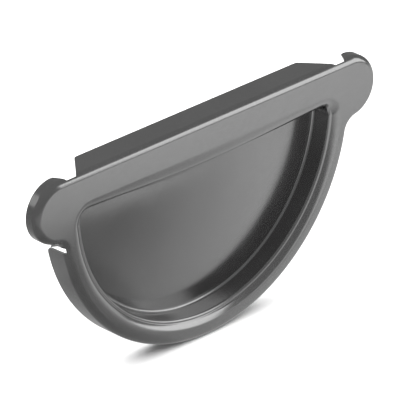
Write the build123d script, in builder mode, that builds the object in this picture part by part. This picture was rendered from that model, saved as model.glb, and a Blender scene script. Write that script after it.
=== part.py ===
"""End cap for a half-round roof gutter, pressed from one sheet of coated steel.

Sizes are in millimetres. The origin lies on the gutter's axis, in the plane
where the gutter's end seats against the back of the cap's face. +Z is up, +X is
along the cap's long side and +Y runs back along the gutter. Depths are measured
backwards from the flat front face.
"""
from build123d import *
from math import cos, radians
import os

# The gutter that the cap closes, with a round bead along each lip
gutter_diameter = 127.0
bead_diameter = 20.0
bead_offset = 2.1
fit_clearance = 0.4

# The sheet and the bends round its outline
sheet = 0.6
bend_radius = 2.5
neck_radius = 5.0

# How far each rim folds back from the front face
ear_depth = 5.2
skirt_depth = 9.9
flange_depth = 10.85
bend_relief = 1.1

# The top edge, its flange and the ends of the rims beside it
top_height = 13.5
flange_inset = 6.3
flange_slant = 9.4
flange_corner = 1.5
flange_notch = 2.5
ear_end_slant = 3.0
ear_end_corner = 1.0

# The slots that part the half-round skirt from the ears, and the tongues over them,
# where the ear's rim runs on round the neck and deepens until it nearly meets the skirt
slot_drop = 12.9
slot_width = 1.8
slot_lean = 0.4
slot_straight = 4.0
tongue_start = 8.3
tongue_depth = 8.0
tongue_gap = 0.3
skirt_corner = 2.2

# The pan, pressed back from the face through a rounded mouth and over a ledge
pan_inset = 8.2
pan_top = -1.2
pan_corner = 3.6
pan_depth = 8.1
pan_draft = 6.5
pan_floor_radius = 1.0
mouth_radius = 4.4
ledge_depth = 1.5

# Sizes that follow from the ones above
skirt_radius = gutter_diameter / 2 + fit_clearance + sheet
ear_radius = bead_diameter / 2 + fit_clearance + sheet
ear_height = top_height - ear_radius
bead_reach = gutter_diameter / 2 + bead_offset
flange_end = bead_reach - flange_inset
ear_start = flange_end + flange_notch
half_length = bead_reach + ear_radius
slot_top = slot_width - slot_drop
tongue_tip = tongue_gap - slot_drop - slot_lean
pan_radius = skirt_radius - pan_inset
pan_clear = pan_radius + 3 * sheet
ledge_edge_radius = sheet
margin = 2.0
reach = max(flange_depth, skirt_depth, pan_depth + sheet) + margin


def upright(depth):
    """Plane at a depth behind the front face, with X and Z as its axes."""
    return Plane(origin=(0, depth - sheet, 0), x_dir=(1, 0, 0), z_dir=(0, -1, 0))


def plan(height):
    """Horizontal plane with X as its first axis and depth as its second."""
    return Plane(origin=(0, -sheet, height), x_dir=(1, 0, 0), z_dir=(0, 0, 1))


def side_view(place):
    """Plane across the cap's length, with depth as its first axis and Z as its second."""
    return Plane(origin=(place, -sheet, 0), x_dir=(0, 1, 0), z_dir=(1, 0, 0))


def face_at(form, depth):
    """Flat upright face that lies at one depth behind the front face."""
    place = depth - sheet
    return form.faces().filter_by(Plane.XZ).filter_by_position(Axis.Y, place - 0.01, place + 0.01)[0]


def draw_outline(skin):
    """Half-round, top band and two round ears, drawn in by the skin."""
    top = top_height - skin
    Circle(skirt_radius - skin)
    with Locations((0, top)):
        Rectangle(2 * half_length, 2 * skirt_radius, align=(Align.CENTER, Align.MIN), mode=Mode.SUBTRACT)
    with Locations((0, top)):
        Rectangle(2 * bead_reach, top - ear_height, align=(Align.CENTER, Align.MAX))
    with Locations((-bead_reach, ear_height), (bead_reach, ear_height)):
        Circle(ear_radius - skin)


def draw_pan(grow):
    """Half-round with a straight top and sharp corners, grown outwards."""
    Circle(pan_radius + grow)
    with Locations((0, pan_top + grow)):
        Rectangle(2 * half_length, 2 * half_length, align=(Align.CENTER, Align.MIN), mode=Mode.SUBTRACT)


def pressed_form(skin):
    """Solid form whose front is the cap's front face moved back by the skin."""
    ledge = ledge_depth + skin
    wall = skin / cos(radians(pan_draft))
    with BuildPart() as form:
        with BuildSketch(upright(skin)) as outline:
            draw_outline(skin)
            necks = outline.vertices().group_by(Axis.Y)[0]
            fillet(necks, neck_radius + skin)
        extrude(amount=skin - reach)

        # The mouth is a deep hole first, so that its rounding can run on past the ledge
        with BuildSketch(upright(skin)) as mouth:
            draw_pan(skin)
            fillet(mouth.vertices(), pan_corner + skin)
        extrude(amount=skin - mouth_radius - margin, mode=Mode.SUBTRACT)
        fillet(face_at(form, skin).outer_wire().edges(), bend_radius - skin)
        fillet(face_at(form, skin).inner_wires()[0].edges(), mouth_radius - skin)

        # The ledge closes the hole again
        with BuildSketch(upright(ledge)) as plug:
            draw_pan(mouth_radius)
            fillet(plug.vertices(), pan_corner + mouth_radius)
        extrude(amount=ledge - reach)

        # The deep part of the pan goes through the ledge, with draft on its walls
        with BuildSketch(upright(ledge)) as well:
            draw_pan(wall)
            fillet(well.vertices(), pan_corner + wall)
        extrude(amount=ledge_depth - pan_depth, taper=pan_draft, mode=Mode.SUBTRACT)
        fillet(face_at(form, pan_depth + skin).edges(), pan_floor_radius + skin)

        # The sheet turns over the ledge's edge round a sharp inside corner
        if skin < ledge_edge_radius:
            fillet(face_at(form, ledge).inner_wires()[0].edges(), ledge_edge_radius - skin)
    return form.part


outer_form = pressed_form(0)
inner_form = pressed_form(sheet)

# Right half of the pressing: the skin between the two forms, with its rims trimmed
with BuildPart() as right_half:
    add(outer_form)
    add(inner_form, mode=Mode.SUBTRACT)
    split(bisect_by=Plane.YZ)

    # Flange and ear rim, trimmed in plan, with a relief notch between them down to the bend
    with BuildSketch(plan(top_height + margin)):
        with Locations((0, bend_relief)):
            Rectangle(half_length + margin, reach, align=(Align.MIN, Align.MIN))
        with BuildSketch(mode=Mode.PRIVATE) as flange:
            Polygon(
                (-half_length, 0),
                (flange_end, 0),
                (flange_end - flange_slant, flange_depth),
                (-half_length, flange_depth),
                align=None,
            )
            fillet(flange.vertices().sort_by(Axis.Y)[-2:].sort_by(Axis.X)[-1], flange_corner)
        add(flange.sketch, mode=Mode.SUBTRACT)
        with BuildSketch(mode=Mode.PRIVATE) as ear_rim:
            Polygon(
                (ear_start, 0),
                (ear_start + ear_end_slant, ear_depth),
                (2 * half_length, ear_depth),
                (2 * half_length, 0),
                align=None,
            )
            fillet(ear_rim.vertices().sort_by(Axis.Y)[-2:].sort_by(Axis.X)[0], ear_end_corner)
        add(ear_rim.sketch, mode=Mode.SUBTRACT)
    extrude(amount=ear_height - top_height - margin, mode=Mode.SUBTRACT)

    # Back edge of the half-round skirt, clear of the pan
    with BuildSketch(upright(skirt_depth)):
        Circle(skirt_radius + margin)
        Circle(pan_clear, mode=Mode.SUBTRACT)
        Rectangle(2 * half_length, 2 * half_length, align=(Align.CENTER, Align.MIN), mode=Mode.SUBTRACT)
    extrude(amount=skirt_depth - reach, mode=Mode.SUBTRACT)

    # Seen from the side: the ear's back edge, the tongue, the slot and the skirt's upper end
    with BuildSketch(side_view(pan_clear)):
        Polygon(
            (reach, ear_height + margin),
            (ear_depth, ear_height + margin),
            (ear_depth, -tongue_start),
            (tongue_depth, tongue_tip),
            (slot_straight, slot_top),
            (bend_relief, slot_top),
            (bend_relief, -slot_drop),
            (reach, -slot_drop),
            align=None,
        )
        with Locations((bend_relief, -slot_drop)):
            Rectangle(reach, slot_lean + 2 * skirt_corner, align=(Align.MIN, Align.MAX))
        with BuildSketch(mode=Mode.PRIVATE) as skirt:
            Polygon(
                (bend_relief, -slot_drop),
                (skirt_depth, -slot_drop - slot_lean),
                (skirt_depth, -skirt_radius),
                (bend_relief, -skirt_radius),
                align=None,
            )
            fillet(skirt.vertices().sort_by(Axis.Y)[-2], skirt_corner)
        add(skirt.sketch, mode=Mode.SUBTRACT)
    extrude(amount=half_length, mode=Mode.SUBTRACT)

with BuildPart() as end_cap:
    add(right_half.part)
    mirror(about=Plane.YZ)

end_cap.part.label = "end_cap"

os.makedirs("parts", exist_ok=True)
export_step(end_cap.part, "parts/end_cap.step")
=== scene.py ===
"""A half-round gutter's end cap, pressed from coated steel, in a pale studio."""
import math

import bpy
import numpy as np
from bpy.props import FloatProperty, FloatVectorProperty, PointerProperty
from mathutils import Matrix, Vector


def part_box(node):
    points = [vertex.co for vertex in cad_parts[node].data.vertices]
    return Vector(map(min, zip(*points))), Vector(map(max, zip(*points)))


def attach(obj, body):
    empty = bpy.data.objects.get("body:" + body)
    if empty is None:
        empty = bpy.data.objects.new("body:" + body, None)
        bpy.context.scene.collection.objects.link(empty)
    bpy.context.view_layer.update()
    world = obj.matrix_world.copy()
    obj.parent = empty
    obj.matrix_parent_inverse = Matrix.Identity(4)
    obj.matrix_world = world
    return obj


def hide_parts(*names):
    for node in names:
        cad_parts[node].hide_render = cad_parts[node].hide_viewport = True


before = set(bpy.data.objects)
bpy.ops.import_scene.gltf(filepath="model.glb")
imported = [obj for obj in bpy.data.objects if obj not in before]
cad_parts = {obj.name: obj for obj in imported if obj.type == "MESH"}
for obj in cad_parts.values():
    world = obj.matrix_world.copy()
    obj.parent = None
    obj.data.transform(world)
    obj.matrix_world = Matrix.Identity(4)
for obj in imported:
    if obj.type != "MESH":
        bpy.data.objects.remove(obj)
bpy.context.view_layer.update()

bl_info = {
    "name": "Gutter end cap",
    "version": (1, 0, 0),
    "blender": (4, 5, 0),
    "location": "3D View > Sidebar > Gutter",
    "description": "Presses a half-round gutter's end cap from coated sheet steel and lights it",
    "category": "Object",
}

NODE = "end_cap"
LOW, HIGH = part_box(NODE)


# How finely the pressing's grid is divided
BEND_ROWS = 8
RIM_BEND_ROWS = 6
RIM_PLAIN_ROWS = 4
RIM_BACK_ROWS = 6
FACE_ROWS = 2
ROLL_ROWS = 12
FOOT_ROWS = 4
LEDGE_EDGE_ROWS = 9
FILLET_ROWS = 12
FLOOR_ROWS = 12
CUT_EDGE_STEPS = 3
FINE_POINTS = 600

# The pan: the ledge's greatest share of the floor's depth, the outward direction's height at which
# its section starts to lose the ledge, the span over which it does, and the height of the floor's
# last point as a share of the pan's radius
LEDGE_SHARE = 0.6
TOP_START, TOP_SPAN = 0.3, 0.65
FLOOR_POINT = -0.45

# The table card's painted light, with a painted pool of light, a painted shadow of the cap and a
# painted oval shade. Places are in metres from the gutter's axis, and a pair is where a change starts
# and ends, for SHADE_EDGE in half axes of its oval. LIGHT and GAIN are brightnesses
SHADOW_END = 0.086, 0.095
SHADOW_FADE = -0.095, 0.085
SHADOW_LIGHT, SHADOW_GAIN = 0.3, 0.68
POOL_MIDDLE, POOL_FADE, POOL_EDGE_LIGHT = (0.15, -0.09), (0.07, 0.28), 0.45
SHADE_MIDDLE, SHADE_HALF, SHADE_EDGE = (-0.052, -0.008), (0.04, 0.052), (0.9, 1.12)
SHADE_FADE, SHADE_LIGHT, SHADE_GAIN = (-0.07, 0.01), 0.25, 0.25
TABLE_END = 0.35, 0.6

# How far the floor lies below the cap's lowest point, in metres
FLOOR_GAP = 0.0001

# The camera's sensor in millimetres, the picture's width in pixels, and the pixel at which the
# middle of the top edge lies
SENSOR_WIDTH = 36
PHOTO_SIZE = 400
AIM_X, AIM_Y = 209.99, 119.49


def metres(name, description, default):
    """A size that a user may change, in metres."""
    return FloatProperty(name=name, description=description, default=default, unit="LENGTH", precision=5)


def degrees(name, description, default):
    """An angle that a user may change, given here in degrees."""
    return FloatProperty(name=name, description=description, default=math.radians(default), subtype="ANGLE")


def portion(name, description, default):
    """A plain number from 0 to 1 that a user may change."""
    return FloatProperty(name=name, description=description, default=default, min=0, max=1)


def tint(name, description, default):
    """A colour that a user may change."""
    return FloatVectorProperty(name=name, description=description, subtype="COLOR", size=3, default=default)


def brightness(name, description, default):
    """Brightness of a light, where 1 is white."""
    return FloatProperty(name=name, description=description, default=default, min=0)


class CapSizes(bpy.types.PropertyGroup):
    """Sizes of the pressing. Depths are measured backwards from the flat front face."""

    sheet: metres("Sheet", "Thickness of the coated sheet", 0.0006)
    edge_radius: metres("Edge radius", "Rounding of the sheet's cut edges", 0.00012)
    bend_radius: metres("Bend radius", "Outer radius of the bend round the outline", 0.0025)
    neck_radius: metres("Neck radius", "Hollow between an ear and the half-round", 0.005)
    skirt_radius: metres("Skirt radius", "Outer radius of the half-round skirt", -LOW.z)
    skirt_depth: metres("Skirt depth", "How far the skirt folds back", 0.0099)
    ear_radius: metres("Ear radius", "Outer radius of an ear", 0.011)
    ear_depth: metres("Ear depth", "How far an ear's rim folds back", 0.0052)
    flange_half: metres("Flange half-width", "From the middle to the flange's end, at the face", 0.0593)
    flange_depth: metres("Flange depth", "How far the top flange folds back", HIGH.y - LOW.y)
    flange_slant: metres("Flange slant", "How much the flange narrows at each end", 0.0094)
    flange_corner: metres("Flange corner", "Radius of the flange's back corners", 0.0015)
    ear_gap: metres("Ear gap", "Notch between the flange and an ear's rim, at the face", 0.0025)
    ear_slant: metres("Ear slant", "How much the ear's rim leans at the notch", 0.003)
    ear_corner: metres("Ear corner", "Radius of the rim's corner at the notch", 0.001)
    relief: metres("Bend relief", "Depth at which notches and slots stop in the bend", 0.0011)
    slot_drop: metres("Slot drop", "Depth of the skirt's upper end below the gutter's axis", 0.0129)
    slot_width: metres("Slot width", "Width of the slot over the skirt, at its front", 0.0018)
    slot_lean: metres("Slot lean", "How much the skirt's upper end falls towards its back edge", 0.0004)
    slot_straight: metres("Slot straight", "Depth up to which the slot keeps its width", 0.004)
    tongue_start: metres("Tongue start", "Depth below the gutter's axis where the ear's rim deepens", 0.0083)
    tongue_depth: metres("Tongue depth", "How far the rim's tongue folds back over the slot", 0.008)
    tongue_gap: metres("Tongue gap", "What is left of the slot at the tongue's tip", 0.0003)
    skirt_corner: metres("Skirt corner", "Radius of the skirt's back corners", 0.0022)
    pan_radius: metres("Pan radius", "Radius of the pan's wall at the ledge", 0.0563)
    pan_top: metres("Pan top", "Height of the pan's straight top wall", -0.0012)
    pan_corner: metres("Pan corner", "Radius of the pan's upper corners", 0.0036)
    pan_depth: metres("Pan depth", "Depth of the pan's floor along its half-round wall", 0.0081)
    crown: metres("Crown", "How far the pan's floor swells forwards in its middle", 0.0066)
    pan_floor_radius: metres("Floor radius", "Hollow between the pan's wall and floor", 0.001)
    mouth_radius: metres("Mouth radius", "Roll of the sheet into the pan", 0.0044)
    ledge_depth: metres("Ledge depth", "Depth of the ledge inside the mouth", 0.0015)
    ledge_foot: metres("Ledge foot", "Hollow between the mouth's roll and the ledge", 0.0005)
    ledge_edge: metres("Ledge edge", "Rounding from the ledge to the wall", 0.0009)
    pan_draft: degrees("Pan draft", "Lean of the pan's wall", 6.5)


class CapFinish(bpy.types.PropertyGroup):
    """Colour and gloss of the coating."""

    coat: tint("Coating", "Colour of the coating", (0.25, 0.25, 0.25))
    bare: tint("Bare metal", "Colour of the cut edges", (0.5, 0.5, 0.5))
    metallic: portion("Metallic", "How metallic the coating looks", 0.96)
    roughness: portion("Roughness", "Mean roughness of the coating", 0.18)


class StudioSettings(bpy.types.PropertyGroup):
    """Floor, light and camera."""

    floor: tint("Floor", "Colour of the floor", (0.87, 0.87, 0.87))
    ambient: brightness("Room", "Brightness of the room all round", 0.3)
    key: brightness("Key light", "Brightness of the soft box in front, on the right", 2.0)
    window: brightness("Window", "Brightness of the soft box behind, on the left", 0.65)
    # Brightness of the painted pool of light on the glowing table card
    pool: brightness("Pool of light", "Brightness of the table where the cap mirrors it best", 1.15)
    overhead: brightness("Overhead", "Brightness of the light over the floor", 3.2)
    azimuth: degrees("Azimuth", "The camera's angle round the cap", -44.5)
    elevation: degrees("Elevation", "The camera's angle above the horizon", 25.92)
    distance: metres("Distance", "From the camera to the middle of the top edge", 2.5267)
    lens: FloatProperty(name="Lens", description="Focal length in millimetres, on a 36 mm sensor",
                        default=708.7)


def circles_meet(one, one_radius, two, two_radius):
    """Lower meeting point of two circles.

    It lies off the line between the centres by the height of the triangle that
    the two radii and the centres' distance make.
    """
    apart = two - one
    distance = np.hypot(*apart)
    along = (distance**2 + one_radius**2 - two_radius**2) / (2 * distance)
    height = math.sqrt(one_radius**2 - along**2)
    unit = apart / distance
    return one + along * unit + height * np.array([unit[1], -unit[0]])


def angle_of(vector):
    """Direction of a vector in the face's plane, from +X towards +Z."""
    return math.atan2(vector[1], vector[0])


class HalfCurve:
    """Right half of a closed curve, from its top middle to its bottom middle.

    It starts with a straight run at the top. Each arc after it is a centre, a radius,
    a first and a last angle, and 1 if it bulges outwards or -1 if it is hollow.
    """

    def __init__(self, run, height, arcs):
        self.run, self.height = run, height
        self.arcs = np.array([[c[0], c[1], r, first, last, bulge] for c, r, first, last, bulge in arcs])
        lengths = self.arcs[:, 2] * np.abs(self.arcs[:, 4] - self.arcs[:, 3])
        self.starts = run + np.concatenate([[0], np.cumsum(lengths)])
        self.total = self.starts[-1]

    def at_angle(self, arc, angle):
        """Length along the curve at which one of its arcs reaches an angle."""
        return self.starts[arc] + self.arcs[arc, 2] * abs(angle - self.arcs[arc, 3])

    def read(self, s):
        """Points and outward directions at lengths s from the top middle, negative on the left.

        On an arc, the angle is the first one plus or less the length run over the radius,
        and the point is one radius from the centre at that angle.
        """
        s = (s + self.total) % (2 * self.total) - self.total
        side, s = np.where(s < 0, -1.0, 1.0), np.abs(s)
        arc = np.clip(np.searchsorted(self.starts, s, side="right") - 1, 0, len(self.arcs) - 1)
        x, z, radius, first, last, bulge = np.moveaxis(self.arcs[arc], -1, 0)
        angle = first + np.sign(last - first) * (s - self.starts[arc]) / radius
        ray = np.stack([np.cos(angle), np.sin(angle)], -1)
        point = np.stack([x, z], -1) + radius[..., None] * ray
        out = bulge[..., None] * ray
        straight = s < self.run
        point[straight] = np.stack([s, np.full_like(s, self.height)], -1)[straight]
        out[straight] = (0, 1)
        point[..., 0] *= side
        out[..., 0] *= side
        return point, out


def face_outline(size):
    """Outer outline of the cap: straight top, round ear, hollow neck and half-round."""
    ear = np.array([HIGH.x - size.ear_radius, HIGH.z - size.ear_radius])
    hollow = size.neck_radius
    neck = circles_meet(np.zeros(2), size.skirt_radius + hollow, ear, size.ear_radius + hollow)
    return HalfCurve(
        ear[0],
        HIGH.z,
        [
            (ear, size.ear_radius, math.pi / 2, angle_of(neck - ear), 1),
            (neck, hollow, angle_of(ear - neck), angle_of(-neck), -1),
            ((0, 0), size.skirt_radius, angle_of(neck), -math.pi / 2, 1),
        ],
    )


def pan_outline(size):
    """Pan's wall at the ledge: straight top, round corner and half-round."""
    centre_z = size.pan_top - size.pan_corner
    corner = np.array([math.sqrt((size.pan_radius - size.pan_corner) ** 2 - centre_z**2), centre_z])
    return HalfCurve(
        corner[0],
        size.pan_top,
        [
            (corner, size.pan_corner, math.pi / 2, angle_of(corner), 1),
            ((0, 0), size.pan_radius, angle_of(corner), -math.pi / 2, 1),
        ],
    )


def lift(point, out, offset, depth, tilt):
    """Puts rows of flat points into space.

    A point moves out by the offset and back by the depth. The surface there faces
    the front, turned outwards by the tilt, or inwards where the tilt is negative.
    """
    flat = point + offset[..., None] * out
    lean, front = np.sin(tilt), np.cos(tilt) + 0 * out[..., 0]
    place = np.stack([flat[..., 0], LOW.y + depth + 0 * flat[..., 0], flat[..., 1]], -1)
    facing = np.stack([lean * out[..., 0], -front, lean * out[..., 1]], -1)
    return place, facing


def bend_rows(size, depth):
    """Offset, depth and tilt of the outline's bend and of the rim behind it.

    Within the bend, the tilt's cosine is one less the depth over the radius. Behind it the
    rim stands straight.
    """
    radius = size.bend_radius
    tilt = np.arccos(np.clip(1 - depth / radius, 0, 1))
    return radius * (np.sin(tilt) - 1), depth, tilt


def crown_at(size, flat):
    """Depth of the pan's floor at flat points, and its growth towards +X and +Z.

    The floor is part of a ball: away from the gutter's axis its depth grows with the square
    of the distance, up to the pan's depth at its edge along the half-round wall.
    """
    bend = size.crown / (size.pan_radius - 2 * size.pan_floor_radius) ** 2
    return size.pan_depth - size.crown + bend * (flat**2).sum(-1), 2 * bend * flat


def pan_section(size, lean):
    """Offset, depth and steepness of the pan from its mouth to its floor, at the pan's full depth.

    There are two sections, one over the ledge and one that sweeps down without it. The sweep's
    radius is such that it ends at the same offset as the ledge's rounded edge. The fillet at the
    floor turns past level by the lean, which each column has of its own. Steepness is the
    depth's growth outwards, the tangent of the tilt with its sign turned.
    """
    mouth, foot, edge = size.mouth_radius, size.ledge_foot, size.ledge_edge
    hollow, wall = size.pan_floor_radius, math.pi / 2 - size.pan_draft
    ledge, floor = size.ledge_depth, size.pan_depth

    foot_tilt = math.acos((mouth - ledge + foot) / (mouth + foot))
    roll = np.linspace(0, foot_tilt, ROLL_ROWS)[:, None]
    foot_offset = mouth - math.sin(foot_tilt) * (mouth + foot)
    fade = np.linspace(foot_tilt, 0, FOOT_ROWS + 1)[1:, None]
    edge_offset = edge * math.tan(wall / 2)
    turn = np.linspace(0, wall, LEDGE_EDGE_ROWS)[:, None]
    floor_offset = -(floor - ledge) * math.tan(size.pan_draft) - hollow * math.tan(wall / 2)
    settle = wall - np.linspace(0, 1, FILLET_ROWS)[:, None] * (wall + lean)
    down = np.linspace(0, wall, len(roll) + len(fade) + len(turn))[:, None]
    sweep = (mouth - edge_offset) / math.sin(wall) + edge
    fillet = floor_offset + hollow * np.sin(settle), floor - hollow + hollow * np.cos(settle), settle
    ledged = [
        (mouth - mouth * np.sin(roll), mouth - mouth * np.cos(roll), roll),
        (foot_offset + foot * np.sin(fade), ledge - foot + foot * np.cos(fade), fade),
        (edge_offset - edge * np.sin(turn), ledge + edge - edge * np.cos(turn), turn),
        fillet,
    ]
    swept = [(mouth - sweep * np.sin(down), sweep - sweep * np.cos(down), down), fillet]
    sections = []
    for parts in (ledged, swept):
        columns = zip(*parts)
        offset, depth, tilt = (np.concatenate([rows + 0 * lean for rows in column]) for column in columns)
        sections.append((offset, depth, -np.tan(tilt)))
    return sections


def pan_surface(size, point, out):
    """Points and facings of the pan, from the crest of its mouth to one point of its floor.

    Under the straight top the mouth sweeps down without a ledge, and its section is scaled to
    the floor's depth beside it. Along the half-round the ledge keeps its depth, and the wall
    is scaled to what is left. A surface that lies at a depth over each flat point faces the
    front, turned to where the depth grows by its growth.
    """
    deep, growth = crown_at(size, point - 2 * size.pan_floor_radius * out)
    across = (growth * out).sum(-1)
    along = growth - across[:, None] * out
    full_wall = size.pan_depth - size.ledge_depth
    ledge = np.minimum(size.ledge_depth, LEDGE_SHARE * deep)
    wall_scale = (deep - ledge) / full_wall
    ledged, swept = pan_section(size, np.arctan(across / wall_scale))

    offset, depth, steep = ledged
    upper = np.minimum(depth, size.ledge_depth)
    below = depth - upper
    upper_scale = ledge / size.ledge_depth
    steep = np.where(below > 0, wall_scale, upper_scale) * steep
    ledged = offset, upper_scale * upper + wall_scale * below, steep
    offset, depth, steep = swept
    scale = deep / size.pan_depth
    swept = offset, scale * depth, scale * steep
    top = np.clip((out[..., 1] - TOP_START) / TOP_SPAN, 0, 1)
    top = top**2 * (3 - 2 * top)
    offset, depth, steep = (one + top * (other - one) for one, other in zip(ledged, swept))
    rows = point + offset[..., None] * out
    slope = steep[..., None] * out + (depth / deep)[..., None] * along

    share = np.linspace(0, 1, FLOOR_ROWS + 1)[1:, None, None]
    floor = rows[-1:] + share * (np.array([0, FLOOR_POINT * size.pan_radius]) - rows[-1:])
    floor_depth, floor_slope = crown_at(size, floor)
    flat, slope = np.concatenate([rows, floor]), np.concatenate([slope, floor_slope])
    depth = np.concatenate([depth, floor_depth])
    place = np.stack([flat[..., 0], LOW.y + depth, flat[..., 1]], -1)
    facing = np.stack([slope[..., 0], -1 + 0 * depth, slope[..., 1]], -1)
    return place, facing / np.linalg.norm(facing, axis=-1, keepdims=True)


def slanted_end(start, slant, corner, back, depth):
    """Place of a rim's slanted end at each depth.

    It is a line that runs in by the slant for each unit of depth, then a circle that
    touches this line and the back edge.
    """
    lean = math.atan(slant)
    line = start + slant * depth
    middle = start + slant * (back - corner) + corner / math.cos(lean)
    touch = back - corner * (1 - math.sin(lean))
    circle = middle - np.sqrt(np.clip(corner**2 - (depth - back + corner) ** 2, 0, None))
    return np.where(depth > touch, circle, line) if corner > 0 else line


def rim_depths(size, back, corner):
    """Depths of a rim's rows: through the rest of the bend, along it, and closer in its corner."""
    first_turn = math.acos(1 - size.relief / size.bend_radius)
    bend = size.bend_radius * (1 - np.cos(np.linspace(first_turn, math.pi / 2, RIM_BEND_ROWS)))
    inner = max(corner, (back - size.bend_radius) / (2 * RIM_PLAIN_ROWS))
    plain = np.linspace(size.bend_radius, back - inner, RIM_PLAIN_ROWS + 1)[1:]
    close = back - inner * (1 - np.sin(np.linspace(0, math.pi / 2, RIM_BACK_ROWS + 1)[1:]))
    return np.concatenate([bend, plain, close])


def length_at(curve, height, offset, first, last):
    """Length along the curve at which its points, moved out by the offset, cross a height.

    It is read off a fine row of points between two lengths, over which the height falls.
    """
    s = np.linspace(first, last, FINE_POINTS)
    point, out = curve.read(s)
    fall = -(point[:, 1] + offset * out[:, 1])
    return float(np.interp(-height, fall, s))


def rim(size, curve, columns, left, right, back, corner):
    """A folded rim with slanted ends: rows run back from the relief, columns along the outline.

    left and right are (slant, corner radius) of its ends. A column keeps its share of the
    rim's length, so the grid narrows as the ends do.
    """
    depth = rim_depths(size, back, corner)
    first, last = columns[0], columns[-1]
    start = slanted_end(first - left[0] * size.relief, left[0], left[1], back, depth)
    end = -slanted_end(-last - right[0] * size.relief, right[0], right[1], back, depth)
    share = (columns - first) / (last - first)
    s = start[:, None] + (end - start)[:, None] * share
    return rim_grid(size, curve, s, depth[:, None] + 0 * s)


def ear_rim(size, curve, columns, slope):
    """The right ear's rim, from its slanted end at the notch to its tongue at the neck.

    Its last column is the slot's upper edge, and its last row is the back edge, which deepens
    along the tongue. The rows between take their share of each column's depth.
    """
    depth = rim_depths(size, size.ear_depth, size.ear_corner)
    share = (depth - size.relief) / (size.ear_depth - size.relief)
    tip = size.tongue_gap - size.slot_drop - size.slot_lean
    reach = size.relief + (size.tongue_depth - size.relief) * share
    edge = np.interp(reach, [size.slot_straight, size.tongue_depth], [size.slot_width - size.slot_drop, tip])
    first, last = columns[0], columns[-1]
    start = slanted_end(first - slope * size.relief, slope, size.ear_corner, size.ear_depth, depth)
    low = curve.starts[1] - size.ear_radius / 4, curve.starts[2] + size.neck_radius
    end = [length_at(curve, z, moved, *low) for z, moved in zip(edge, bend_rows(size, reach)[0])]
    end = np.array([last, *end[1:]])
    s = start[:, None] + (end - start)[:, None] * ((columns - first) / (last - first))
    deepen = [length_at(curve, -size.tongue_start, 0, *low), end[-1]]
    back = np.interp(s[-1], deepen, [size.ear_depth, size.tongue_depth])
    return rim_grid(size, curve, s, size.relief + (back - size.relief) * share[:, None])


def rim_grid(size, curve, s, depth):
    """Points, facings and quads of a rim from each grid point's length and depth."""
    point, out = curve.read(s)
    place, facing = lift(point, out, *bend_rows(size, depth))
    rows, count = s.shape
    index = np.arange(rows * count).reshape(rows, count)
    quads = np.stack([index[1:, :-1], index[:-1, :-1], index[:-1, 1:], index[1:, 1:]], -1)
    return place.reshape(-1, 3), facing.reshape(-1, 3), quads.reshape(-1, 4)


def matched_lengths(marks, counts):
    """Lengths along the outline and along the pan that belong together, for a whole turn.

    Between two marks both lengths rise evenly, and the left half mirrors the right.
    """
    halves = []
    for which in (0, 1):
        ends = [mark[which] for mark in marks]
        runs = [np.linspace(a, b, n, endpoint=False) for a, b, n in zip(ends, ends[1:], counts)]
        halves.append(np.append(np.concatenate(runs), ends[-1]))
    return [np.concatenate([-half[:0:-1], half[:-1]]) for half in halves]


def corners_of(faces):
    """Faces as lists of corners, where a quad with one corner twice is a triangle."""
    same = faces == np.roll(faces, -1, 1)
    twice = np.argmax(same, 1)
    turned = np.take_along_axis(faces, (twice[:, None] + 1 + np.arange(4)) % 4, 1)
    narrow = same.any(1)
    return faces[~narrow].tolist() + turned[narrow, :3].tolist()


def weld(place, facing, quads):
    """Joins points that share a place, and drops quads that lose two corners."""
    _, first, joined = np.unique(np.round(place, 8), axis=0, return_index=True, return_inverse=True)
    quads = joined.reshape(-1)[quads]
    flat = (quads[:, 0] == quads[:, 2]) | (quads[:, 1] == quads[:, 3])
    return place[first], facing[first], quads[~flat]


def thicken(place, facing, quads, sheet, radius):
    """Turns a skin into a closed sheet with rounded edges.

    The back skin is the front one moved in by the sheet along its facing. Along the skin's
    free edges, a quarter circle turns from the facing to the direction out of the edge, and
    another one from there to the back.
    """
    count = len(place)
    sides = np.stack([quads, np.roll(quads, -1, 1)], -1).reshape(-1, 2)
    keys, first, uses = np.unique(np.sort(sides, 1), axis=0, return_index=True, return_counts=True)
    free = sides[first[uses == 1]]
    free = free[free[:, 0] != free[:, 1]]
    along = place[free[:, 1]] - place[free[:, 0]]
    along /= np.linalg.norm(along, axis=1)[:, None]
    outwards = np.zeros_like(place)
    for end in (0, 1):
        np.add.at(outwards, free[:, end], np.cross(along, facing[free[:, end]]))
    rim_points = np.unique(free)
    outwards[rim_points] /= np.linalg.norm(outwards[rim_points], axis=1)[:, None]

    ring = np.full(count, -1)
    ring[rim_points] = np.arange(len(rim_points))
    out, normal, corner = outwards[rim_points], facing[rim_points], place[rim_points]
    turns = np.linspace(0, math.pi / 2, CUT_EDGE_STEPS + 1)
    rings, ring_facing = [], []
    for turn in turns[1:]:
        towards = math.cos(turn) * normal + math.sin(turn) * out
        rings.append(corner - radius * (out + normal) + radius * towards)
        ring_facing.append(towards)
    for turn in turns[:-1]:
        towards = math.cos(turn) * out - math.sin(turn) * normal
        rings.append(corner - (sheet - radius) * normal - radius * out + radius * towards)
        ring_facing.append(towards)

    front = place - radius * outwards
    points = np.concatenate([front, front - sheet * facing, *rings])
    normals = np.concatenate([facing, -facing, *ring_facing])
    ring_index = np.arange(len(rim_points))
    layers = [2 * count + k * len(rim_points) + ring_index for k in range(len(rings))]
    layers = [rim_points, *layers, rim_points + count]
    a, b = ring[free[:, 0]], ring[free[:, 1]]
    pairs = zip(layers, layers[1:])
    edge = [np.stack([lower[b], lower[a], upper[a], upper[b]], -1) for lower, upper in pairs]
    faces = np.concatenate([quads, quads[:, ::-1] + count, *edge])
    cut = np.zeros(len(points), np.float32)
    cut[2 * count:] = 1
    return points, normals, faces, cut


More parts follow.
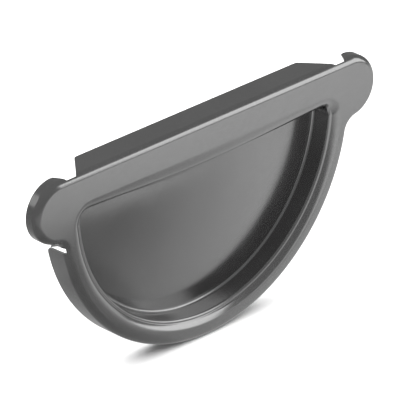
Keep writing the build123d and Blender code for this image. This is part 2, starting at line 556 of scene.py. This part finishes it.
def cap_surface(size):
    """The whole pressing as points, facings, faces and a mark on its cut edges.

    A ring of columns runs round the outline and the pan together. Its rows go through the
    outline's bend, across the flat face, down the pan and over the floor to one point. The
    flange, the ears' rims and the skirt are grids of their own behind the bend's relief.
    """
    outline, pan = face_outline(size), pan_outline(size)
    slope = size.flange_slant / size.flange_depth
    ear_slope = size.ear_slant / size.ear_depth
    skirt_slope = size.slot_lean / (size.skirt_depth - size.relief)
    flange_end = size.flange_half - slope * size.relief
    ear_start = size.flange_half + size.ear_gap + ear_slope * size.relief
    moved = bend_rows(size, size.relief)[0]
    neck = outline.starts[1], outline.starts[2]
    rim_end = length_at(outline, size.slot_width - size.slot_drop, moved, *neck)
    skirt_angle = -math.asin(size.slot_drop / (size.skirt_radius + moved))
    skirt_start = outline.at_angle(2, skirt_angle)

    corner_degrees = 15, 28, 40, 72, 91
    corner = [pan.at_angle(0, math.pi / 2 - math.radians(turn)) for turn in corner_degrees]
    neck_end = outline.arcs[2, 3]
    marks = [
        (0, 0),
        (flange_end, corner[0]),
        (ear_start, corner[1]),
        (outline.run, corner[2]),
        (outline.at_angle(0, 0), corner[3]),
        (rim_end, corner[4]),
        (outline.starts[2], pan.at_angle(1, neck_end)),
        (skirt_start, pan.at_angle(1, skirt_angle)),
        (outline.total, pan.total),
    ]
    columns_between = [34, 4, 5, 24, 24, 12, 2, 84]
    s_out, s_pan = matched_lengths(marks, columns_between)

    point, out = outline.read(s_out[None])
    tilt = np.linspace(math.acos(1 - size.relief / size.bend_radius), 0, BEND_ROWS)
    bend, bend_facing = lift(point, out, *bend_rows(size, size.bend_radius * (1 - np.cos(tilt[:, None]))))
    well, well_facing = pan_surface(size, *pan.read(s_pan))
    share = np.linspace(0, 1, FACE_ROWS + 2)[1:-1, None, None]
    face = bend[-1:] + share * (well[:1] - bend[-1:])
    place = np.concatenate([bend, face, well])
    facing = np.concatenate([bend_facing, np.array([0.0, -1, 0]) + 0 * face, well_facing])
    rows, count = place.shape[:2]
    index = np.arange(rows * count).reshape(rows, count)
    after = np.roll(index, -1, 1)
    quads = np.stack([index[:-1], index[1:], after[1:], after[:-1]], -1)
    skins = [(place.reshape(-1, 3), facing.reshape(-1, 3), quads.reshape(-1, 4))]

    def columns(start, end):
        """Columns of the ring from one mark to another, on round the bottom if need be."""
        whole = np.concatenate([s_out, s_out + 2 * outline.total])
        near = (whole > start - 1e-7) & (whole < end + 1e-7)
        return whole[near]

    skirt_ends = (skirt_slope, size.skirt_corner), (skirt_slope, size.skirt_corner)
    flange_ends = (slope, size.flange_corner), (slope, size.flange_corner)
    for start, end, ends, back, corner_radius in (
        (-flange_end, flange_end, flange_ends, size.flange_depth, size.flange_corner),
        (skirt_start, 2 * outline.total - skirt_start, skirt_ends, size.skirt_depth, size.skirt_corner),
    ):
        skins.append(rim(size, outline, columns(start, end), *ends, back, corner_radius))
    right_ear = ear_rim(size, outline, columns(ear_start, rim_end), ear_slope)
    left_ear = right_ear[0] * (-1, 1, 1), right_ear[1] * (-1, 1, 1), right_ear[2][:, ::-1]
    skins += [right_ear, left_ear]

    offset, parts = 0, ([], [], [])
    for place, facing, quads in skins:
        for part, values in zip(parts, (place, facing, quads + offset)):
            part.append(values)
        offset += len(place)
    skin = weld(*(np.concatenate(part) for part in parts))
    return thicken(*skin, size.sheet, size.edge_radius)


class Value:
    """A socket that carries a number, with the usual signs for Math nodes."""

    def __init__(self, tree, socket):
        self.tree, self.socket = tree, socket

    def _math(self, operation, *inputs):
        return self.tree.node("ShaderNodeMath", {"operation": operation}, dict(enumerate(inputs)))

    def __add__(self, other):
        return self._math("ADD", self, other)

    def __sub__(self, other):
        return self._math("SUBTRACT", self, other)

    def __rsub__(self, other):
        return self._math("SUBTRACT", other, self)

    def __mul__(self, other):
        return self._math("MULTIPLY", self, other)

    __radd__, __rmul__ = __add__, __mul__

    def rise(self, low, high):
        """0 below low and 1 above high, with a smooth S between them."""
        settings = {"interpolation_type": "SMOOTHSTEP"}
        inputs = {"Value": self, "From Min": low, "From Max": high}
        return self.tree.node("ShaderNodeMapRange", settings, inputs)


class Tree:
    """Nodes of a material or world."""

    def __init__(self, owner):
        owner.use_nodes = True
        self.tree = owner.node_tree
        self.tree.nodes.clear()

    def node(self, kind, settings, inputs, out=0):
        """A node of a type. Its settings come first, then its sockets' values or links."""
        made = self.tree.nodes.new(kind)
        for name, value in settings.items():
            setattr(made, name, value)
        for key, value in inputs.items():
            if isinstance(value, Value):
                self.tree.links.new(value.socket, made.inputs[key])
            else:
                made.inputs[key].default_value = value
        return Value(self, made.outputs[out]) if made.outputs else made

    def noise(self, place, size, detail):
        """Noise whose lumps are about one size across, in metres, from 0 to 1."""
        return self.node("ShaderNodeTexNoise", {}, {"Vector": place, "Scale": 1 / size, "Detail": detail})

    def mix(self, share, first, second):
        """Blend of two colours."""
        inputs = {0: share, 6: first, 7: second}
        return self.node("ShaderNodeMix", {"data_type": "RGBA"}, inputs, out=2)

    def bump(self, height, depth, before=None):
        """Relief of a height from 0 to 1, as deep as given in metres, on top of an earlier one."""
        inputs = {"Height": height, "Distance": depth}
        return self.node("ShaderNodeBump", {}, inputs if before is None else {**inputs, "Normal": before})


def coated_steel(finish):
    """Grey coating on drawn sheet steel, almost as glossy as bare metal.

    Clouds a few centimetres across shift its grey and gloss a little. The sheet has long
    shallow waves from rolling and pressing, the coating an orange peel and a fine grain,
    and along the cut edges the bare metal shows.
    """
    material = bpy.data.materials.new("coated_steel")
    tree = Tree(material)
    place = tree.node("ShaderNodeTexCoord", {}, {}, out="Object")
    cloud = tree.noise(place, size=0.018, detail=3.0)
    fleck = tree.noise(place, size=0.0014, detail=1.0)
    grain = tree.noise(place, size=0.0004, detail=1.0)
    cut = tree.node("ShaderNodeAttribute", {"attribute_name": "cut_edge"}, {}, out="Fac")
    cut = cut.rise(0.3, 0.7)

    spread = 0.035
    dark, light = ((*(tone * c for c in finish.coat), 1) for tone in (1 - spread, 1 + spread))
    cloud_share, fleck_share = 0.62, 0.38
    coat = tree.mix((cloud_share * cloud + fleck_share * fleck).rise(0.3, 0.7), dark, light)
    colour = tree.mix(cut, coat, (*finish.bare, 1))
    cloudy, grainy, bare = 0.04, 0.02, 0.14
    clouds = cloudy * cloud.rise(0.35, 0.65)
    roughness = finish.roughness - cloudy / 2 + clouds + grainy * grain + bare * cut
    waves = tree.bump(tree.noise(place, size=0.03, detail=1.0), depth=0.00006)
    peel = tree.bump(tree.noise(place, size=0.0022, detail=1.0), depth=0.0000035, before=waves)
    normal = tree.bump(grain, depth=0.0000003, before=peel)
    shader = tree.node(
        "ShaderNodeBsdfPrincipled",
        {},
        {"Base Color": colour, "Metallic": finish.metallic, "Roughness": roughness, "Normal": normal},
    )
    tree.node("ShaderNodeOutputMaterial", {}, {"Surface": shader})
    return material


def pale_floor(studio):
    """Matt pale floor with a faint mottle."""
    material = bpy.data.materials.new("pale_floor")
    tree = Tree(material)
    place = tree.node("ShaderNodeTexCoord", {}, {}, out="Object")
    mottle = tree.noise(place, size=0.02, detail=2.0)
    darkest = 0.99
    colour = tree.mix(mottle, (*(darkest * c for c in studio.floor), 1), (*studio.floor, 1))
    shader = tree.node("ShaderNodeBsdfPrincipled", {}, {"Base Color": colour, "Roughness": 0.9})
    tree.node("ShaderNodeOutputMaterial", {}, {"Surface": shader})
    return material


def painted_table_glow(studio):
    """Painted reflection of a lit table, glowing on a card that only the coating's reflections see.

    It is brightest on the right in front, where a painted shadow of the cap ends. In this painted
    shadow it falls off towards the left, and a painted oval shade lies to the left of the cap.
    """
    material = bpy.data.materials.new("painted_table_glow")
    tree = Tree(material)
    place = tree.node("ShaderNodeTexCoord", {}, {}, out="Object")
    x = tree.node("ShaderNodeSeparateXYZ", {}, {"Vector": place}, out="X")
    y = tree.node("ShaderNodeSeparateXYZ", {}, {"Vector": place}, out="Y")

    def oval(centre, half):
        """Distance from a centre, where 1 is the oval with the half axes."""
        across = (x - centre[0]) * (1 / half[0])
        along = (y - centre[1]) * (1 / half[1])
        away = tree.node("ShaderNodeCombineXYZ", {}, {"X": across, "Y": along})
        return tree.node("ShaderNodeVectorMath", {"operation": "LENGTH"}, {0: away}, out="Value")

    # Painted pool of light, painted shadow of the cap and painted oval shade, all glowing in the card
    front = (0 - y).rise(*SHADOW_END)
    pool_loss = studio.pool - POOL_EDGE_LIGHT
    pool = studio.pool - pool_loss * oval(POOL_MIDDLE, (1, 1)).rise(*POOL_FADE)
    shadow = SHADOW_LIGHT + SHADOW_GAIN * (x + y).rise(*SHADOW_FADE)
    shaded = 1 - oval(SHADE_MIDDLE, SHADE_HALF).rise(*SHADE_EDGE)
    left_in_shade = SHADE_LIGHT + SHADE_GAIN * (x + y).rise(*SHADE_FADE)
    table = shadow + front * (pool - shadow)
    near = 1 - oval((0, 0), (1, 1)).rise(*TABLE_END)
    glow = near * (table + shaded * (left_in_shade - table)) + studio.ambient * (1 - near)
    colour = tree.mix(glow * (1 / studio.pool), (0, 0, 0, 1), (1, 1, 1, 1))
    light = tree.node("ShaderNodeEmission", {}, {"Color": colour, "Strength": studio.pool})
    tree.node("ShaderNodeOutputMaterial", {}, {"Surface": light})
    return material


class PressCap(bpy.types.Operator):
    """Press the cap from its sizes, and let it stand for the CAD node"""

    bl_idname = "gutter.press_cap"
    bl_label = "Press the cap"

    def execute(self, context):
        points, normals, faces, cut = cap_surface(context.scene.cap_sizes)
        mesh = bpy.data.meshes.new("cap_pressing")
        mesh.from_pydata(points, [], corners_of(faces))
        mesh.validate()
        mesh.update()
        mesh.shade_smooth()
        mesh.normals_split_custom_set_from_vertices(normals)
        mark = mesh.attributes.new("cut_edge", "FLOAT", "POINT")
        mark.data.foreach_set("value", cut)
        mesh.materials.append(coated_steel(context.scene.cap_finish))
        cap = bpy.data.objects.new("cap_pressing", mesh)
        context.collection.objects.link(cap)
        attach(cap, "root")
        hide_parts(NODE)
        return {"FINISHED"}


def flat_plane(name, half, height, material):
    """Square in the floor's plane."""
    mesh = bpy.data.meshes.new(name)
    corners = np.array([[-1, -1], [1, -1], [1, 1], [-1, 1]]) * half
    mesh.from_pydata(np.column_stack([corners, np.full(4, height)]), [], [(0, 1, 2, 3)])
    mesh.materials.append(material)
    plane = bpy.data.objects.new(name, mesh)
    bpy.context.collection.objects.link(plane)
    return plane


def soft_box(name, turn, rise, distance, size, radiance, diffuse=False):
    """Area light that faces the cap from a turn round it and a rise above the horizon, in degrees.

    Its power is the radiance times pi and its area. It shines either on matt surfaces, as
    the light over the floor, or is mirrored in the coating.
    """
    light = bpy.data.lights.new(name, "AREA")
    light.shape, light.size, light.size_y = "RECTANGLE", *size
    light.energy = radiance * math.pi * size[0] * size[1]
    lamp = bpy.data.objects.new(name, light)
    turn, rise = math.radians(turn), math.radians(rise)
    ray = Vector((math.cos(turn) * math.cos(rise), math.sin(turn) * math.cos(rise), math.sin(rise)))
    lamp.location = distance * ray
    lamp.rotation_mode = "QUATERNION"
    lamp.rotation_quaternion = (-ray).to_track_quat("-Z", "Y")
    bpy.context.collection.objects.link(lamp)
    lamp.visible_diffuse = diffuse
    lamp.visible_glossy = not diffuse
    return lamp


class BuildStudio(bpy.types.Operator):
    """Lay the floor, hang the lights and set up the camera"""

    bl_idname = "gutter.build_studio"
    bl_label = "Build the studio"

    def execute(self, context):
        studio = context.scene.studio
        floor = flat_plane("floor", half=8.0, height=LOW.z - FLOOR_GAP, material=pale_floor(studio))
        floor.visible_glossy = False
        below = LOW.z - 2 * FLOOR_GAP
        # Glowing card under the floor, seen only in reflections: a painted table reflection with painted
        # shadow and shade
        table = flat_plane("painted_table_glow", half=0.7, height=below, material=painted_table_glow(studio))
        table.visible_camera = table.visible_diffuse = table.visible_shadow = False

        world = bpy.data.worlds.new("studio")
        context.scene.world = world
        tree = Tree(world)
        sky = tree.node("ShaderNodeBackground", {}, {"Color": (1, 1, 1, 1), "Strength": studio.ambient})
        tree.node("ShaderNodeOutputWorld", {}, {"Surface": sky})
        soft_box("key", turn=-37, rise=11, distance=1.0, size=(0.62, 0.89), radiance=studio.key)
        soft_box("window", turn=134, rise=27, distance=1.0, size=(0.5, 0.45), radiance=studio.window)
        soft_box("overhead", turn=0, rise=90, distance=1.2, size=(3.0, 3.0), radiance=studio.overhead,
                 diffuse=True)

        a, e = studio.azimuth, studio.elevation
        forward = Vector((-math.sin(a) * math.cos(e), math.cos(a) * math.cos(e), -math.sin(e)))
        right = forward.cross(Vector((0, 0, 1))).normalized()
        up = right.cross(forward)
        aim = Vector((0, LOW.y, HIGH.z))
        data = bpy.data.cameras.new("camera")
        data.lens, data.sensor_width = studio.lens, SENSOR_WIDTH
        data.clip_start, data.clip_end = 0.05, 50
        camera = bpy.data.objects.new("camera", data)
        context.collection.objects.link(camera)
        camera.location = aim - forward * studio.distance
        pixel, middle = SENSOR_WIDTH / PHOTO_SIZE, PHOTO_SIZE / 2
        sideways, upwards = (middle - AIM_X) * pixel, (AIM_Y - middle) * pixel
        gaze = forward * studio.lens + right * sideways + up * upwards
        camera.rotation_mode = "QUATERNION"
        camera.rotation_quaternion = gaze.to_track_quat("-Z", "Y")
        context.scene.camera = camera
        context.scene.view_settings.view_transform = "Standard"
        return {"FINISHED"}


class GutterPanel(bpy.types.Panel):
    """Sizes, finish and studio of the end cap"""

    bl_idname = "VIEW3D_PT_gutter_end_cap"
    bl_label = "Gutter end cap"
    bl_space_type = "VIEW_3D"
    bl_region_type = "UI"
    bl_category = "Gutter"

    def draw(self, context):
        for group in (context.scene.cap_sizes, context.scene.cap_finish, context.scene.studio):
            box = self.layout.box()
            for name in group.__annotations__:
                box.prop(group, name)
        for operator in (PressCap, BuildStudio):
            self.layout.operator(operator.bl_idname)


CLASSES = (CapSizes, CapFinish, StudioSettings, PressCap, BuildStudio, GutterPanel)


def register():
    for each in CLASSES:
        bpy.utils.register_class(each)
    bpy.types.Scene.cap_sizes = PointerProperty(type=CapSizes)
    bpy.types.Scene.cap_finish = PointerProperty(type=CapFinish)
    bpy.types.Scene.studio = PointerProperty(type=StudioSettings)


def unregister():
    del bpy.types.Scene.studio, bpy.types.Scene.cap_finish, bpy.types.Scene.cap_sizes
    for each in reversed(CLASSES):
        bpy.utils.unregister_class(each)


def main():
    register()
    bpy.ops.gutter.press_cap()
    bpy.ops.gutter.build_studio()


if __name__ == "__main__":
    main()
